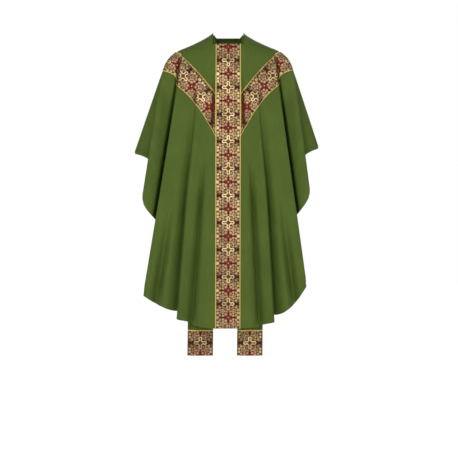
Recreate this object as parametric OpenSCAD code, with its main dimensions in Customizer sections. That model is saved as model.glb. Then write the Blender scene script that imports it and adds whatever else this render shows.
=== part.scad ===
// Semi-Gothic chasuble with a Y-shaped orphrey, and the stole worn under it.
// Units are millimetres, +Z is up and the front of the garment faces -Y.
// The origin is the middle of the neck opening, level with the two neck points.
// Left and right are as seen by somebody standing in front of the garment.

/* [Garment] */
// Length from the neck points to the hem at the centre
garment_length = 1303; // [1100:10:1560]
// Half width of the body at the bottom corner of its folded edge
corner_out = 358; // [310:1:420]
// Half width at the lowest point of the arm line
tip_out = 408; // [370:1:480]
// Half width of the shoulders, where the side cloth starts to fall
shoulder_out = 196; // [175:1:235]
// How far the shoulder seam falls on its way out
shoulder_fall = 71; // [50:1:95]
// How far the front stands forward of the shoulder seam
front_depth = 165; // [140:1:200]
// How far the back stands behind the shoulder seam
back_depth = 150; // [140:1:190]
// How slowly the cloth rounds over the shoulder
shoulder_round = 150; // [110:1:190]
// Extra depth of the skirt at the hem
hem_flare = 25; // [0:1:45]
// How much wider the left side hangs than the right, as a share
side_lean = 0.042; // [0:0.002:0.06]
// How much lower the left bottom corner hangs than the middle of the two
hem_lean = 20; // [0:1:30]

/* [Neck] */
// Half width of the square neck opening
neck_half = 67; // [62:1:80]
// Depth of the front neckline below the neck points
neck_front = 53; // [40:1:70]
// Depth of the back neckline below the neck points
neck_back = 26; // [20:1:40]
// Width of the facing sewn inside the neckline
facing_width = 32; // [20:1:45]

/* [Folds] */
// Depth of the deepest body fold at the hem
fold_main = 45; // [20:1:55]
// Depth of the fold next to the centre column
fold_inner = 38; // [15:1:48]
// Depth of the fold near the side edge
fold_outer = 20; // [8:1:28]
// Step in the hem where the deepest fold laps over
hem_step = 32; // [0:1:45]

/* [Orphrey] */
// Width of the centre column
column_width = 108; // [84:1:124]
// Drop of the upper edge of the Y arms where they leave the column
arm_top = 275; // [240:1:320]
// Drop of the lower edge of the Y arms where they leave the column
arm_bottom = 462; // [400:1:520]
// Width of the gold braid
braid_width = 6; // [4:0.5:9]

/* [Cloth] */
// Thickness of the body cloth
cloth = 2; // [1.5:0.1:2.6]
// Thickness of the stiffener behind the column
stiffener = 1; // [0.8:0.1:1.4]
// Thickness of the brocade
brocade = 1.4; // [1:0.1:1.8]
// Thickness of the braid
braid = 1.2; // [1:0.1:1.6]
// Space left between one layer and the next
layer_gap = 1; // [0.8:0.1:1.4]

/* [Stole] */
// Width of each half of the stole
stole_width = 112; // [90:1:126]
// Length of the stole from the neck points to its ends
stole_length = 1424; // [1200:1:1700]
// Height of the brocade end of each half
stole_end = 112; // [90:1:160]
// How far the stole stands forward of the shoulder seam
stole_depth = 100; // [85:1:112]
// Sideways shift of the two ends towards the left
stole_shift = 15; // [0:1:20]

/* [Display] */
// Which piece to draw

/* [Hidden] */

FRONT = -1;
BACK = 1;
LEFT = -1;
RIGHT = 1;

column_half = column_width / 2;
fan_top = shoulder_out - column_half;
fan_spread = corner_out - shoulder_out;
corner_drop = 0.876 * garment_length;
corner_rise = garment_length - corner_drop;
seam_gap = 1;
wing_gap = 3;
wing_start = 6;
stiff_lift = cloth / 2 + layer_gap + stiffener / 2;
brocade_lift = stiff_lift + stiffener / 2 + layer_gap + brocade / 2;
braid_lift = brocade_lift + brocade / 2 + layer_gap + braid / 2;
arm_lift = cloth / 2 + 2.2 * layer_gap + brocade / 2;
arm_braid_lift = arm_lift + brocade / 2 + 2 * layer_gap + braid / 2;
facing_lift = -(cloth / 2 + layer_gap + stiffener / 2);

// Lanes run from the column edge (0) to the folded side edge (1); folds keep to their lane.
inner_lane = 0.29;
main_lane = 0.545;
outer_lane = 0.80;
neck_lane = lane_of(neck_half, 0);
lane_spacing = 0.02;
outer_lanes = [
    0.18, 0.23, 0.26, 0.29, 0.34, 0.40, 0.46, 0.5, 0.525, 0.545,
    0.59, 0.65, 0.71, 0.76, 0.8, 0.86, 0.93, 1
];
lane_list = concat(
    [0, neck_lane],
    [for (lane = outer_lanes) if (lane > neck_lane + lane_spacing) lane]
);
top_rows = 5;
skirt_rows = 17;

// ---------- small helpers ----------

function clamp(value, low, high) = min(high, max(low, value));
function mix(from, to, share) = from + (to - from) * share;
function smooth(value) = let (s = clamp(value, 0, 1)) s * s * (3 - 2 * s);
function unit(v) = v / max(norm(v), 0.000001);

// Smooth curve through four neighbouring values, between the second and the third.
function curve(a, b, c, d, s) =
    0.5 * (2 * b + (c - a) * s + (2 * a - 5 * b + 4 * c - d) * s * s
    + (3 * b - a - 3 * c + d) * s * s * s);

// Moves a point to its own side of the garment, with the left hanging a little wider and lower.
function place(side, x, y, z) =
    let (down = -z / corner_drop)
    [side * x * (1 - side * side_lean * down), y, z + side * hem_lean * down * pow(x / corner_out, 2)];

// ---------- the draped body ----------

// Height of the shoulder line at a distance from the centre.
function seam_z(x) =
    -shoulder_fall * pow(clamp((x - neck_half) / (shoulder_out - neck_half), 0, 1), 0.75);

// Share of the way down: 0 at the shoulder end, 1 at the bottom corner of the side edge.
function fall(z) = (-z - shoulder_fall) / (corner_drop - shoulder_fall);

// Distance from the centre of a lane at a height, and the lane of a point.
function lane_bend(z) = 0.48 * (fall(z) - 1);
function lane_x(lane, z) =
    column_half
    + (lane + lane_bend(z) * lane * (1 - lane)) * (fan_top + fan_spread * fall(z));
function lane_of(x, z) =
    let (w = max(0, x - column_half) / (fan_top + fan_spread * fall(z)))
    let (c = lane_bend(z))
    2 * w / (1 + c + sqrt(max(0, pow(1 + c, 2) - 4 * c * w)));

// A fold: steep towards the centre, gentle towards the side, fading out upwards.
function fold(lane, middle, depth, z) =
    let (reach = lane < middle ? 0.045 : 0.16)
    depth * pow(clamp((fall(z) - 0.08) / 0.92, 0, 1.2), 1.5)
    * exp(-pow((lane - middle) / reach, 2));
function folds(lane, z) =
    fold(lane, inner_lane, fold_inner, z)
    + fold(lane, main_lane, fold_main, z)
    + fold(lane, outer_lane, fold_outer, z);

// Depth of the cloth from the shoulder seam, before the folds.
function side_share(x) = 1 - 0.25 * pow(x / (corner_out * 1.03), 2);
function face_depth(face) = face == FRONT ? front_depth : back_depth;
function plain_depth(face, x, drop) =
    face_depth(face) * sqrt(max(0, drop) / (max(0, drop) + shoulder_round)) * side_share(x)
    + hem_flare * pow(max(0, drop) / garment_length, 2);
function body_y(face, x, z) =
    face * (seam_gap / 2 + plain_depth(face, x, seam_z(x) - z) - folds(lane_of(x, z), z));

// Height of the hem along the lanes, with the laps of the two deepest folds.
function lap(lane, middle, height, reach) =
    lane < middle ? 0 : height * exp(-(lane - middle) / reach);
function hem_z(lane) =
    -garment_length
    + corner_rise * pow(clamp(lane, 0, 1), 2.2)
    + lap(lane, main_lane - 0.01, hem_step, 0.15)
    + lap(lane, inner_lane - 0.01, hem_step / 2, 0.08);

// ---------- closed sheets ----------

function row_count(grid) = len(grid);
function lane_count(grid) = len(grid[0]);
function across(grid, r, c) =
    grid[r][min(c + 1, lane_count(grid) - 1)] - grid[r][max(c - 1, 0)];
function along(grid, r, c) =
    grid[min(r + 1, row_count(grid) - 1)][c] - grid[max(r - 1, 0)][c];
function outward(grid, r, c, flip) = flip * unit(cross(along(grid, r, c), across(grid, r, c)));

// Thickens a grid of points. flip is 1 or -1 so that a lift above 0 points away from the body,
// and the cells of the first bare_lanes columns start at row bare_rows, for the neck opening.
module sheet(grid, thick, lift = 0, flip = 1, bare_lanes = 0, bare_rows = 0) {
    rows = row_count(grid);
    lanes = lane_count(grid);
    layer = rows * lanes;
    points = [
        for (level = [lift + thick / 2, lift - thick / 2])
            for (r = [0:rows - 1])
                for (c = [0:lanes - 1])
                    grid[r][c] + level * outward(grid, r, c, flip)
    ];
    filled = function (r, c)
        r >= 0 && c >= 0 && r < rows - 1 && c < lanes - 1 && !(c < bare_lanes && r < bare_rows);
    at = function (r, c) r * lanes + c;
    quads = [
        for (r = [0:rows - 2])
            for (c = [0:lanes - 2])
                if (filled(r, c))
                    for (quad = cell_quads(r, c, at, filled, layer))
                        quad
    ];
    triangles = [
        for (q = quads)
            for (t = [[q[0], q[1], q[2]], [q[0], q[2], q[3]]])
                flip > 0 ? t : [t[2], t[1], t[0]]
    ];
    polyhedron(points = points, faces = triangles, convexity = 6);
}

function cell_quads(r, c, at, filled, layer) =
    let (a = at(r, c))
    let (b = at(r, c + 1))
    let (d = at(r + 1, c))
    let (e = at(r + 1, c + 1))
    concat(
        [[a, d, e, b]],
        [[a + layer, b + layer, e + layer, d + layer]],
        filled(r - 1, c) ? [] : [[a, b, b + layer, a + layer]],
        filled(r + 1, c) ? [] : [[e, d, d + layer, e + layer]],
        filled(r, c - 1) ? [] : [[d, a, a + layer, d + layer]],
        filled(r, c + 1) ? [] : [[b, e, e + layer, b + layer]]
    );

// ---------- body pieces ----------

function neck_drop(face) = face == FRONT ? neck_front : neck_back;

// Height of a row of a lane that starts at a height: close rows down to the neckline,
// one row level with the edge of the facing, then even ones down to the hem.
function row_z(face, start, stop, r) =
    let (line = start - neck_drop(face))
    let (below = r - top_rows)
    below <= 0 ? start - neck_drop(face) * pow(r / top_rows, 2)
    : mix(line - facing_width, stop, (below - 1) / (skirt_rows - 1));

function body_point(face, side, x, z) = place(side, x, body_y(face, x, z), z);

function centre_xs() = [seam_gap / 2, column_half / 2];

// Where a lane meets the shoulder line, found by going back and forth between the two.
function seam_x(lane, x = shoulder_out, turns = 12) =
    turns == 0 ? x : seam_x(lane, lane_x(lane, seam_z(x)), turns - 1);

function panel_grid(face, side) = [
    for (r = [0:top_rows + skirt_rows])
        concat(
            [
                for (x = centre_xs())
                    body_point(face, side, x, row_z(face, 0, hem_z(0), r))
            ],
            [
                for (lane = lane_list)
                    let (top = seam_z(seam_x(lane)))
                    let (z = row_z(face, top, hem_z(lane), r))
                    body_point(face, side, lane_x(lane, z), z)
            ]
        )
];

module body_panel(face, side) {
    sheet(panel_grid(face, side), cloth, 0, -side * face, 3, top_rows);
}

// Rows of the straight column, level with the rows of the body under it.
function column_grid(face, xs) = [
    for (r = [top_rows:top_rows + skirt_rows])
        [
            for (x = xs)
                body_point(face, x < 0 ? LEFT : RIGHT, abs(x), row_z(face, 0, hem_z(0), r))
        ]
];

module column_strip(face, inset, thick, lift) {
    half = column_half - inset;
    xs = [-half, -column_half / 2, 0, column_half / 2, half];
    sheet(column_grid(face, xs), thick, lift, -face);
}

module column_braid(face, side) {
    edge = column_half;
    xs = side == LEFT ? [-edge, -edge + braid_width] : [edge - braid_width, edge];
    sheet(column_grid(face, xs), braid, braid_lift, -face);
}

module neck_facing(face) {
    drop = neck_drop(face);
    half = neck_half - 8;
    grid = [
        for (z = [-drop, -drop - facing_width])
            [
                for (x = [-half, -column_half, -column_half / 2, 0, column_half / 2, column_half, half])
                    body_point(face, x < 0 ? LEFT : RIGHT, abs(x), z)
            ]
    ];
    sheet(grid, stiffener, facing_lift, -face);
}

// Stay tape under a shoulder seam.
module shoulder_stay(side) {
    tape = 18;
    below = cloth + layer_gap + stiffener;
    grid = [
        for (row = [0:8])
            [
                for (col = [-2:2])
                    let (x = mix(neck_half + 8, shoulder_out - 10, row / 8))
                    let (y = col * tape / 4)
                    place(side, x, y, seam_z(x) - below - shoulder_round * pow(y / front_depth, 2) * 1.2)
            ]
    ];
    sheet(grid, stiffener, 0, side);
}

// ---------- the Y arms ----------

arm_end_top = shoulder_fall + 38;
arm_end_bottom = shoulder_fall + 166;

// A point of an arm: share 0 at the column, 1 at the folded side edge; rise 0 upper, 1 lower edge.
function side_edge_x(z) = lane_x(1, z);
function arm_point(share, rise) =
    let (start = column_half + braid_width / 2 + 2)
    let (z_top = mix(-arm_top, -arm_end_top, share) + 9 * sin(180 * share))
    let (z_low = mix(-arm_bottom, -arm_end_bottom, share) + 26 * sin(180 * share))
    let (x_top = mix(start, side_edge_x(-arm_end_top) - 5, share))
    let (x_low = mix(start, side_edge_x(-arm_end_bottom) - 5, share))
    [mix(x_top, x_low, rise), mix(z_top, z_low, rise)];

module arm_sheet(face, side, rises, thick, lift) {
    grid = [
        for (rise = rises)
            [
                for (step = [0:9])
                    let (p = arm_point(step / 9, rise))
                    body_point(face, side, p[0], p[1])
            ]
    ];
    sheet(grid, thick, lift, -side * face);
}

arm_height = arm_bottom - arm_top;
arm_braid_share = 1.35 * braid_width / arm_height;

// ---------- the side cloth that falls from the shoulders ----------

// Ribs across the side cloth: 0 is the folded side edge, 4 the arm line, with laps between.
tip_drop = 0.402 * garment_length;
rib_out = [corner_out, corner_out - 60, tip_out - 39, tip_out - 71, tip_out];
rib_drop = [
    corner_drop, 0.669 * garment_length, 0.564 * garment_length, 0.44 * garment_length, tip_drop
];
rib_share = [1, 0.55, 0.72, 0.42, 0];
rib_swell = [0, 25, 80, 60, 60];

function rib_value(values, u, before, after) =
    let (k = min(3, floor(u)))
    curve(
        k == 0 ? before : values[k - 1],
        values[k],
        values[k + 1],
        k == 3 ? after : values[k + 2],
        u - k
    );
function wing_out(u) = rib_value(rib_out, u, rib_out[1], rib_out[3]);
function wing_drop(u) = rib_value(rib_drop, u, 2 * rib_drop[0] - rib_drop[1], rib_drop[3]);
function wing_swell(u) = max(0, rib_value(rib_swell, u, 0, rib_swell[3]));
function wing_share(u) = rib_value(rib_share, u, 1.45, -rib_share[3]);
function wing_length(u) =
    norm([wing_out(u) - shoulder_out, wing_drop(u) - shoulder_fall]);

// A point of the side cloth at a rib and a share t of the way from the shoulder to the hem.
function wing_point(face, side, u, t) =
    let (swell = wing_swell(u) * (1 - t) * (1 - exp(-t / 0.06)))
    let (x = mix(shoulder_out, wing_out(u), t) + swell + wing_gap)
    let (z = -mix(shoulder_fall, wing_drop(u), t))
    let (reach = t * wing_length(u))
    let (share = mix(cos(22.5 * u), wing_share(u), smooth(t / 0.4)))
    let (depth = plain_depth(face, mix(shoulder_out, wing_out(u), t), reach) - 2)
    place(side, x, face * (seam_gap + max(0, depth * share)), z);

wing_steps = 18;
wing_rows = 13;

module wing_panel(face, side) {
    grid = [
        for (row = [0:wing_rows])
            [
                for (step = [0:wing_steps])
                    let (u = 4 * step / wing_steps)
                    let (first = wing_start / wing_length(u))
                    wing_point(face, side, u, mix(first, 1, pow(row / wing_rows, 1.5)))
            ]
    ];
    sheet(grid, cloth, 0, -side * face);
}

// Distance from the shoulder end to the upper and lower edge of the band, nearer on top of the arm.
function ring_near(u) = mix(36, 22, u / 4);
function ring_far(u) = mix(139, 106, u / 4);

// A band round the shoulder end between two shares of its width, front to back in one piece.
module shoulder_ring(side, from, to, thick, lift) {
    steps = 30;
    grid = [
        for (row = [0:3])
            [
                for (step = [0:steps])
                    let (around = mix(-3.75, 3.75, step / steps))
                    let (u = 4 - abs(around))
                    let (face = around < 0 ? FRONT : BACK)
                    let (reach = mix(ring_near(u), ring_far(u), mix(from, to, row / 3)))
                    let (p = wing_point(face, side, u, reach / wing_length(u)))
                    [p[0], abs(around) < 0.001 ? 0 : p[1], p[2]]
            ]
    ];
    sheet(grid, thick, lift, side);
}

ring_braid_share = braid_width / (ring_far(4) - ring_near(4));

// ---------- the stole ----------

stole_top = 12;
stole_inner = 53;
stole_outer = stole_inner + stole_width;
stole_split = 120;
stole_split_gap = 8;

function stole_y(face, drop) =
    face * stole_depth * sqrt(max(0, drop) / (max(0, drop) + shoulder_round));

function stole_point(side, share, z) =
    let (x = mix(stole_inner, stole_outer, share))
    let (drop = seam_z(x + 8) - stole_top - z)
    [side * x - stole_shift * -z / stole_length, stole_y(FRONT, drop), z];

module stole_strip(side, from, to, thick, lift, inset = 0) {
    rows = 14;
    edge = inset / stole_width;
    grid = [
        for (row = [0:rows])
            [for (col = [0:3]) stole_point(side, mix(edge, 1 - edge, col / 3), -mix(from, to, row / rows))]
    ];
    sheet(grid, thick, lift, side);
}

// The neck part: down both fronts and round the back of the neck.
function neck_front_point(side, share, step) =
    let (x = mix(stole_inner, stole_outer, share) + 8 * (1 - step))
    let (top = seam_z(x) - stole_top)
    let (z = mix(top, -(stole_split - stole_split_gap / 2), step * step))
    [side * x - stole_shift * -z / stole_length, stole_y(FRONT, top - z), z];
function neck_back_point(angle, share) =
    let (x = mix(stole_inner + 8, stole_outer + 8, share) * cos(angle))
    let (drop = pow(sin(angle), 1.6) * mix(34, 34 + stole_width, share))
    let (z = seam_z(abs(x)) - stole_top - drop)
    [x - stole_shift * -z / stole_length, stole_y(BACK, drop), z];

module stole_collar(thick, lift, inset = 0) {
    edge = inset / stole_width;
    shares = [for (col = [0:3]) mix(edge, 1 - edge, col / 3)];
    grid = concat(
        [for (step = [4:-1:1]) [for (share = shares) neck_front_point(RIGHT, share, step / 4)]],
        [for (step = [0:16]) [for (share = shares) neck_back_point(step * 180 / 16, share)]],
        [for (step = [1:4]) [for (share = shares) neck_front_point(LEFT, share, step / 4)]]
    );
    sheet(grid, thick, lift, -1);
}

module stole_half(side, thick, lift, inset = 0) {
    stole_strip(side, stole_split + stole_split_gap / 2, stole_length, thick, lift, inset);
}

stole_lining_lift = -(cloth / 2 + layer_gap + stiffener / 2);
stole_end_lift = cloth / 2 + layer_gap + brocade / 2;
stole_braid_lift = stole_end_lift + brocade / 2 + layer_gap + braid / 2;

module stole_tip(side) {
    stole_strip(side, stole_length - stole_end, stole_length - 1, brocade, stole_end_lift, 1);
}
module stole_tip_braid(side) {
    top = stole_length - stole_end;
    stole_strip(side, top, top + braid_width, braid, stole_braid_lift, 1);
}

// ---------- colours ----------

GREEN = [0.28, 0.36, 0.14];
CRIMSON = [0.40, 0.13, 0.09];
GOLD = [0.80, 0.66, 0.33];
LINEN = [0.83, 0.80, 0.72];

// ---------- sub-parts ----------

module front_panel_left() { color(GREEN) body_panel(FRONT, LEFT); }
module front_panel_right() { color(GREEN) body_panel(FRONT, RIGHT); }
module back_panel_left() { color(GREEN) body_panel(BACK, LEFT); }
module back_panel_right() { color(GREEN) body_panel(BACK, RIGHT); }
module wing_front_left() { color(GREEN) wing_panel(FRONT, LEFT); }
module wing_front_right() { color(GREEN) wing_panel(FRONT, RIGHT); }
module wing_back_left() { color(GREEN) wing_panel(BACK, LEFT); }
module wing_back_right() { color(GREEN) wing_panel(BACK, RIGHT); }
module front_stiffener() { color(LINEN) column_strip(FRONT, 2, stiffener, stiff_lift); }
module back_stiffener() { color(LINEN) column_strip(BACK, 2, stiffener, stiff_lift); }
module front_column() { color(CRIMSON) column_strip(FRONT, 0, brocade, brocade_lift); }
module back_column() { color(CRIMSON) column_strip(BACK, 0, brocade, brocade_lift); }
module front_braid_left() { color(GOLD) column_braid(FRONT, LEFT); }
module front_braid_right() { color(GOLD) column_braid(FRONT, RIGHT); }
module back_braid_left() { color(GOLD) column_braid(BACK, LEFT); }
module back_braid_right() { color(GOLD) column_braid(BACK, RIGHT); }

ARM_RISES = [0, 0.25, 0.5, 0.75, 1];
UPPER_RISES = [0, arm_braid_share];
LOWER_RISES = [1 - arm_braid_share, 1];

module front_arm_left() { color(CRIMSON) arm_sheet(FRONT, LEFT, ARM_RISES, brocade, arm_lift); }
module front_arm_right() { color(CRIMSON) arm_sheet(FRONT, RIGHT, ARM_RISES, brocade, arm_lift); }
module back_arm_left() { color(CRIMSON) arm_sheet(BACK, LEFT, ARM_RISES, brocade, arm_lift); }
module back_arm_right() { color(CRIMSON) arm_sheet(BACK, RIGHT, ARM_RISES, brocade, arm_lift); }
module arm_braid(face, side, rises) { color(GOLD) arm_sheet(face, side, rises, braid, arm_braid_lift); }
module front_arm_left_upper_braid() { arm_braid(FRONT, LEFT, UPPER_RISES); }
module front_arm_left_lower_braid() { arm_braid(FRONT, LEFT, LOWER_RISES); }
module front_arm_right_upper_braid() { arm_braid(FRONT, RIGHT, UPPER_RISES); }
module front_arm_right_lower_braid() { arm_braid(FRONT, RIGHT, LOWER_RISES); }
module back_arm_left_upper_braid() { arm_braid(BACK, LEFT, UPPER_RISES); }
module back_arm_left_lower_braid() { arm_braid(BACK, LEFT, LOWER_RISES); }
module back_arm_right_upper_braid() { arm_braid(BACK, RIGHT, UPPER_RISES); }
module back_arm_right_lower_braid() { arm_braid(BACK, RIGHT, LOWER_RISES); }

module shoulder_band(side) { color(CRIMSON) shoulder_ring(side, 0, 1, brocade, arm_lift); }
module inner_ring_braid(side) {
    color(GOLD) shoulder_ring(side, 0, ring_braid_share, braid, arm_braid_lift);
}
module outer_ring_braid(side) {
    color(GOLD) shoulder_ring(side, 1 - ring_braid_share, 1, braid, arm_braid_lift);
}
module shoulder_band_left() { shoulder_band(LEFT); }
module shoulder_band_right() { shoulder_band(RIGHT); }
module shoulder_left_inner_braid() { inner_ring_braid(LEFT); }
module shoulder_left_outer_braid() { outer_ring_braid(LEFT); }
module shoulder_right_inner_braid() { inner_ring_braid(RIGHT); }
module shoulder_right_outer_braid() { outer_ring_braid(RIGHT); }

module neck_facing_front() { color(GREEN) neck_facing(FRONT); }
module neck_facing_back() { color(GREEN) neck_facing(BACK); }
module shoulder_stay_left() { color(LINEN) shoulder_stay(LEFT); }
module shoulder_stay_right() { color(LINEN) shoulder_stay(RIGHT); }

module stole_neck() { color(GREEN) stole_collar(cloth, 0); }
module stole_neck_lining() { color(GREEN) stole_collar(stiffener, stole_lining_lift - layer_gap, 2); }
module stole_left() { color(GREEN) stole_half(LEFT, cloth, 0); }
module stole_right() { color(GREEN) stole_half(RIGHT, cloth, 0); }
module stole_lining_left() { color(GREEN) stole_half(LEFT, stiffener, stole_lining_lift, 2); }
module stole_lining_right() { color(GREEN) stole_half(RIGHT, stiffener, stole_lining_lift, 2); }
module stole_end_left() { color(CRIMSON) stole_tip(LEFT); }
module stole_end_right() { color(CRIMSON) stole_tip(RIGHT); }
module stole_braid_left() { color(GOLD) stole_tip_braid(LEFT); }
module stole_braid_right() { color(GOLD) stole_tip_braid(RIGHT); }

front_panel_left();
front_panel_right();
back_panel_left();
back_panel_right();
wing_front_left();
wing_front_right();
wing_back_left();
wing_back_right();
front_stiffener();
back_stiffener();
front_column();
back_column();
front_braid_left();
front_braid_right();
back_braid_left();
back_braid_right();
front_arm_left();
front_arm_right();
back_arm_left();
back_arm_right();
front_arm_left_upper_braid();
front_arm_left_lower_braid();
front_arm_right_upper_braid();
front_arm_right_lower_braid();
back_arm_left_upper_braid();
back_arm_left_lower_braid();
back_arm_right_upper_braid();
back_arm_right_lower_braid();
shoulder_band_left();
shoulder_band_right();
shoulder_left_inner_braid();
shoulder_left_outer_braid();
shoulder_right_inner_braid();
shoulder_right_outer_braid();
neck_facing_front();
neck_facing_back();
shoulder_stay_left();
shoulder_stay_right();
stole_neck();
stole_neck_lining();
stole_left();
stole_right();
stole_lining_left();
stole_lining_right();
stole_end_left();
stole_end_right();
stole_braid_left();
stole_braid_right();
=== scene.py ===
"""Looks for a draped semi-Gothic chasuble with a Y-shaped orphrey and the stole worn under it.

Everything is in metres in the row frame: +Z up, the front of the garment faces -Y, and the
origin is the middle of the neck opening. Left and right are as seen from the front.
"""

from __future__ import annotations

import logging
import math
from dataclasses import dataclass, field
from enum import Enum

import bpy
import numpy as np
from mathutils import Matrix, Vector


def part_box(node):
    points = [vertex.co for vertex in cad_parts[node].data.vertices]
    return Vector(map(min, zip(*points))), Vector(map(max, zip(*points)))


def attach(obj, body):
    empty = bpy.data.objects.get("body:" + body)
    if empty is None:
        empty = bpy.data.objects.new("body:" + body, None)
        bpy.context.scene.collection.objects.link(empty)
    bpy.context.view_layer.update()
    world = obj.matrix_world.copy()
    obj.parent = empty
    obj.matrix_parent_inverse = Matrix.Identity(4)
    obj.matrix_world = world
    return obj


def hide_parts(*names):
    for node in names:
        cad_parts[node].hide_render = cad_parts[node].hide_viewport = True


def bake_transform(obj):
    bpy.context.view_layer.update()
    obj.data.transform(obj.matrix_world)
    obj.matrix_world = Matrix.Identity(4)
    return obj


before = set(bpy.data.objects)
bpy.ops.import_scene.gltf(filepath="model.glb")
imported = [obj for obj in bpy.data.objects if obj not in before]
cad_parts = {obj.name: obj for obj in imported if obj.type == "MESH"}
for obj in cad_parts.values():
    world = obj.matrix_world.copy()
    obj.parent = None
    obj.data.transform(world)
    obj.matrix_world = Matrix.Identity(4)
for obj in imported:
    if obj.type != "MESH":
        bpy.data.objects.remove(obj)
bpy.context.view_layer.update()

LOG = logging.getLogger("chasuble")
MM = 0.001


class Face(Enum):
    """Front or back of the garment, with the direction it faces along Y."""

    FRONT = -1
    BACK = 1


class Side(Enum):
    """Left or right as seen from the front, with its direction along X."""

    LEFT = -1
    RIGHT = 1


def label(choice: Enum) -> str:
    """The lower-case name of a face or side, as the pieces and nodes use it."""
    return choice.name.lower()


def smooth(value: np.ndarray | float) -> np.ndarray | float:
    """Eases a share from 0 to 1 with flat ends."""
    s = np.clip(value, 0.0, 1.0)
    return s * s * (3.0 - 2.0 * s)


def mix(low: np.ndarray | float, high: np.ndarray | float, share: np.ndarray | float) -> np.ndarray:
    """Goes from low to high as share goes from 0 to 1."""
    return low + (high - low) * share


# ---------------------------------------------------------------- the draped cloth


@dataclass(frozen=True)
class Drape:
    """The way the cloth hangs: one smooth surface that every layer is laid on.

    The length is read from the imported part. The folds, the hem and the side cloth are matched to
    the look more closely than the part's are, so they lie a few centimetres from it in places.
    """

    length: float = -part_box("front_panel_left")[0][2]
    corner_out: float = 0.358
    tip_out: float = 0.408
    shoulder_out: float = 0.196
    shoulder_fall: float = 0.071
    front_depth: float = 0.165
    back_depth: float = 0.150
    shoulder_round: float = 0.150
    hem_flare: float = 0.025
    side_lean: float = 0.042
    hem_lean: float = 0.020
    neck_half: float = 0.067
    neck_front: float = 0.053
    neck_back: float = 0.026
    column_half: float = 0.054
    hem_step: float = 0.032
    seam_turns: int = 14
    tip_bulge: float = 0.022
    hem_curl: float = 0.006
    curl_reach: float = 0.016
    crevice_depth: float = 0.36
    crevice_reach: float = 0.011
    lanes_left: tuple = (0.285, 0.54, 0.81)
    lanes_right: tuple = (0.25, 0.52, 0.79)
    fold_depths: tuple = (0.042, 0.054, 0.046)
    fold_inner: tuple = (0.050, 0.028, 0.055)
    fold_outer: tuple = (0.075, 0.120, 0.075)
    fold_starts: tuple = (0.42, 0.03, 0.52)
    fold_ramps: tuple = (0.24, 0.62, 0.45)
    sag_depth: float = 0.011
    laps: tuple = (0.006, 0.016, 0.0)
    lane_drifts: tuple = (0.0, 0.14, 0.0)
    drift_level: float = 0.65
    hem_power: float = 1.9
    hem_tilt: float = 0.0165
    corner_share: float = 0.876
    lane_bend: float = 0.48
    sag_lane: float = 0.09
    sag_width: float = 0.06

    @property
    def corner_drop(self) -> float:
        """Height of the bottom corner of the folded side edge, below the neck points."""
        return self.corner_share * self.length

    @property
    def fan_top(self) -> float:
        """Width of the lanes at the shoulder, from the column to the side edge."""
        return self.shoulder_out - self.column_half

    @property
    def neck_lane(self) -> float:
        """The lane that the side of the neck opening lies on."""
        return float(self.lane_of(np.array(self.neck_half), np.array(0.0)))

    def seam_x(self, lane: np.ndarray) -> np.ndarray:
        """Where each lane meets the shoulder line, found by going back and forth."""
        x = np.full(np.shape(lane), self.shoulder_out)
        for _ in range(self.seam_turns):
            x = self.lane_x(lane, self.seam_z(x))
        return x

    def neck_drop(self, face: Face) -> float:
        """Depth of the neckline below the neck points."""
        return self.neck_front if face is Face.FRONT else self.neck_back

    def place(self, side: Side, x: np.ndarray, y: np.ndarray, z: np.ndarray) -> np.ndarray:
        """Puts a point on its own side, with the left hanging a little wider and lower.

        Args:
            side: the side of the garment.
            x: distance from the centre.
            y: depth, negative at the front.
            z: height.

        Returns:
            The points, with a last axis of three.
        """
        down = -z / self.corner_drop
        out = side.value * x * (1 - side.value * self.side_lean * down)
        height = z + side.value * self.hem_lean * down * (x / self.corner_out) ** 2
        return np.stack(np.broadcast_arrays(out, y, height), axis=-1)

    def seam_z(self, x: np.ndarray) -> np.ndarray:
        """Height of the shoulder line at a distance from the centre."""
        share = (x - self.neck_half) / (self.shoulder_out - self.neck_half)
        return -self.shoulder_fall * np.clip(share, 0, 1) ** 0.75

    def fall(self, z: np.ndarray) -> np.ndarray:
        """Share of the way down: 0 at the shoulder end, 1 at the bottom corner."""
        return (-z - self.shoulder_fall) / (self.corner_drop - self.shoulder_fall)

    def fan(self, z: np.ndarray) -> np.ndarray:
        """Width of the lanes at a height."""
        return self.fan_top + (self.corner_out - self.shoulder_out) * self.fall(z)

    def lane_x(self, lane: np.ndarray, z: np.ndarray) -> np.ndarray:
        """Distance of a lane from the centre at a height."""
        bend = self.lane_bend * (self.fall(z) - 1)
        return self.column_half + (lane + bend * lane * (1 - lane)) * self.fan(z)

    def lane_of(self, x: np.ndarray, z: np.ndarray) -> np.ndarray:
        """The lane that a point lies in."""
        w = np.maximum(0, x - self.column_half) / self.fan(z)
        c = self.lane_bend * (self.fall(z) - 1)
        return 2 * w / (1 + c + np.sqrt(np.maximum(0, (1 + c) ** 2 - 4 * c * w)))

    def fade(self, z: np.ndarray, begin: float = 0.20, ramp: float = 0.45) -> np.ndarray:
        """How deep a fold that begins at a share of the fall has grown on its way down."""
        fall = self.fall(z)
        return smooth((fall - begin) / ramp) * (0.5 + 0.5 * np.clip(fall, 0, 1.2))

    def sag(self, lane: np.ndarray, z: np.ndarray) -> np.ndarray:
        """The shallow hollow beside the column, where the weight of the Y arms pulls the cloth in."""
        fall = self.fall(z)
        span = smooth((fall - 0.08) / 0.12) * (1 - smooth((fall - 0.26) / 0.12))
        return self.sag_depth * span * np.exp(-(((lane - self.sag_lane) / self.sag_width) ** 2))

    def fold_lanes(self, side: Side, z: np.ndarray) -> list[np.ndarray]:
        """The lanes that the folds of one side lie in at a height."""
        lanes = self.lanes_left if side is Side.LEFT else self.lanes_right
        down = self.drift_level - self.fall(z)
        return [lane + drift * down for lane, drift in zip(lanes, self.lane_drifts)]

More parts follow.
